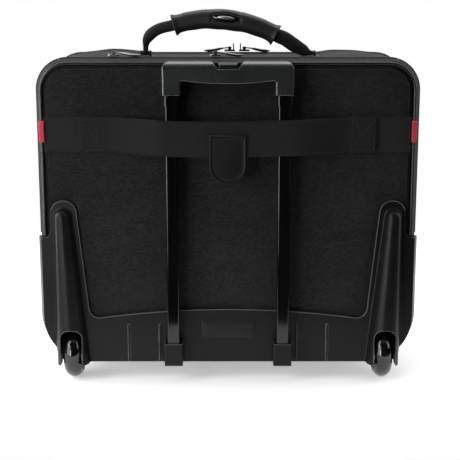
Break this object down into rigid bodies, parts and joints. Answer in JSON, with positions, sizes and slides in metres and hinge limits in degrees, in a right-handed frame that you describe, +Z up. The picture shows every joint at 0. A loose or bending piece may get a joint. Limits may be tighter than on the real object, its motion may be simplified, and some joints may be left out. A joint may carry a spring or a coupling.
{
  "type": "rolling laptop case",
  "caption": "Soft laptop case on two wheels, with a base tray, a telescopic pull handle, a folding carry handle, a luggage strap, zips and a front organiser pocket.",
  "frame": {"origin": "on the floor, under the middle of the object's box", "axes": "+Z up; -Y is the back, with the wheels and the pull handle; +Y is the front, with the organiser pocket; +X is to the right seen from behind"},
  "size_m": [0.4376, 0.24, 0.425],
  "materials": {
    "body_fabric": "woven nylon",
    "webbing": "ribbed nylon webbing",
    "lining_foam": "padded tricot",
    "zip_tape": "zip tape with nylon chain",
    "piping": "gloss cord piping",
    "board": "honeycomb board",
    "tray_plastic": "satin moulded",
    "housing_plastic": "moulded",
    "grip_plastic": "satin moulded",
    "button_plastic": "polished",
    "tube_black": "black anodised look",
    "steel": "plated",
    "dark_metal": "black plated",
    "zip_metal": "gunmetal",
    "red_loop": "woven ribbon",
    "tab_skin": "grained soft vinyl",
    "wheel_tyre": "polished cast polyurethane",
    "hub_plastic": "moulded",
    "grip_rubber": "soft moulded",
    "badge_metal": "plain brushed oval"
  },
  "bodies": {
    "case": {"rear_shell": "body_fabric", "back_panel": "body_fabric", "back_piping": "piping", "stiffener_boards": "board", "laptop_sleeve": "lining_foam", "rear_zip": "zip_tape", "main_zip_rear": "zip_tape", "base_tray": "tray_plastic", "tray_rivets": "steel", "front_feet": "tray_plastic", "wheel_housing_left": "housing_plastic", "wheel_housing_right": "housing_plastic", "axles": "steel", "outer_tube_left": "tube_black", "outer_tube_right": "tube_black", "tube_shoes": "tray_plastic", "tube_collars": "grip_plastic", "tube_bridge": "housing_plastic", "strap_ends": "webbing", "luggage_strap": "webbing", "strap_tab": "tab_skin", "seam_tabs": "red_loop", "handle_anchors": "dark_metal"},
    "lid": {"lid_shell": "body_fabric", "lid_piping": "piping", "main_zip_front": "zip_tape", "organiser_base": "body_fabric"},
    "pocket_flap": {"organiser_flap": "body_fabric"},
    "mid_tubes": {"mid_tube_left": "tube_black", "mid_tube_right": "tube_black", "mid_bushes": "grip_plastic"},
    "pull_handle": {"inner_tube_left": "tube_black", "inner_tube_right": "tube_black", "lock_plugs": "housing_plastic", "lock_pins": "steel", "grip_housing": "grip_plastic", "grip_cover": "grip_plastic", "grip_screws": "steel", "button_springs": "steel"},
    "release": {"release_button": "button_plastic", "push_rods": "steel"},
    "wheel_left": {"tyre_left": "wheel_tyre", "hub_left": "hub_plastic", "bearings_left": "steel"},
    "wheel_right": {"tyre_right": "wheel_tyre", "hub_right": "hub_plastic", "bearings_right": "steel"},
    "carry_handle": {"carry_strap": "webbing", "carry_grip": "grip_rubber", "carry_badge": "badge_metal"},
    "rear_slider_left": {"rear_slider_left": "zip_metal"},
    "rear_pull_left": {"rear_pull_left": "zip_metal"},
    "rear_slider_right": {"rear_slider_right": "zip_metal"},
    "rear_pull_right": {"rear_pull_right": "zip_metal"},
    "main_slider_left": {"main_slider_left": "zip_metal"},
    "main_pull_left": {"main_pull_left": "zip_metal"},
    "main_slider_right": {"main_slider_right": "zip_metal"},
    "main_pull_right": {"main_pull_right": "zip_metal"},
    "pocket_slider": {"pocket_slider": "zip_metal"},
    "pocket_pull": {"pocket_pull": "zip_metal"}
  },
  "joints": [
    {"name": "mid_tube_slide", "type": "slide", "parent": "case", "child": "mid_tubes", "axis": [0, 0, 1], "range_m": [0, 0.26]},
    {"name": "handle_slide", "type": "slide", "parent": "mid_tubes", "child": "pull_handle", "axis": [0, 0, 1], "range_m": [0, 0.26]},
    {"name": "release_press", "type": "slide", "parent": "pull_handle", "child": "release", "axis": [0, 0, -1], "range_m": [0, 0.003], "stiffness_N_per_m": 600, "springref_m": -0.003, "deforming": ["button_springs"]},
    {"name": "wheel_spin_left", "type": "hinge", "parent": "case", "child": "wheel_left", "pos_m": [-0.1805, -0.088, 0.03], "axis": [1, 0, 0], "continuous": true},
    {"name": "wheel_spin_right", "type": "hinge", "parent": "case", "child": "wheel_right", "pos_m": [0.1805, -0.088, 0.03], "axis": [1, 0, 0], "continuous": true},
    {"name": "carry_handle_fold", "type": "hinge", "parent": "case", "child": "carry_handle", "pos_m": [0, -0.015, 0.374], "axis": [1, 0, 0], "range_deg": [-50, 50]},
    {"name": "lid_open", "type": "hinge", "parent": "case", "child": "lid", "pos_m": [0, 0.0483, 0.023], "axis": [-1, 0, 0], "range_deg": [0, 25]},
    {"name": "pocket_open", "type": "hinge", "parent": "lid", "child": "pocket_flap", "pos_m": [0, 0.1, 0.051], "axis": [-1, 0, 0], "range_deg": [0, 65]},
    {"name": "rear_slider_left_run", "type": "slide", "parent": "case", "child": "rear_slider_left", "axis": [1, 0, 0], "range_m": [-0.05, 0.06]},
    {"name": "rear_pull_left_lift", "type": "hinge", "parent": "rear_slider_left", "child": "rear_pull_left", "pos_m": [-0.129, -0.076, 0.3776], "axis": [0, -1, 0], "range_deg": [0, 100]},
    {"name": "rear_slider_right_run", "type": "slide", "parent": "case", "child": "rear_slider_right", "axis": [1, 0, 0], "range_m": [0, 0.17]},
    {"name": "rear_pull_right_lift", "type": "hinge", "parent": "rear_slider_right", "child": "rear_pull_right", "pos_m": [-0.014, -0.076, 0.3776], "axis": [0, -1, 0], "range_deg": [0, 100]},
    {"name": "main_slider_left_run", "type": "slide", "parent": "case", "child": "main_slider_left", "axis": [1, 0, 0], "range_m": [-0.17, 0]},
    {"name": "main_pull_left_lift", "type": "hinge", "parent": "main_slider_left", "child": "main_pull_left", "pos_m": [0.002, 0.0483, 0.3776], "axis": [0, 1, 0], "range_deg": [0, 100]},
    {"name": "main_slider_right_run", "type": "slide", "parent": "case", "child": "main_slider_right", "axis": [1, 0, 0], "range_m": [0, 0.15]},
    {"name": "main_pull_right_lift", "type": "hinge", "parent": "main_slider_right", "child": "main_pull_right", "pos_m": [0.02, 0.0483, 0.3776], "axis": [0, -1, 0], "range_deg": [0, 100]},
    {"name": "pocket_slider_run", "type": "slide", "parent": "lid", "child": "pocket_slider", "axis": [1, 0, 0], "range_m": [-0.19, 0.07]},
    {"name": "pocket_pull_lift", "type": "hinge", "parent": "pocket_slider", "child": "pocket_pull", "pos_m": [0.06, 0.1, 0.3086], "axis": [0, 1, 0], "range_deg": [0, 100]}
  ]
}
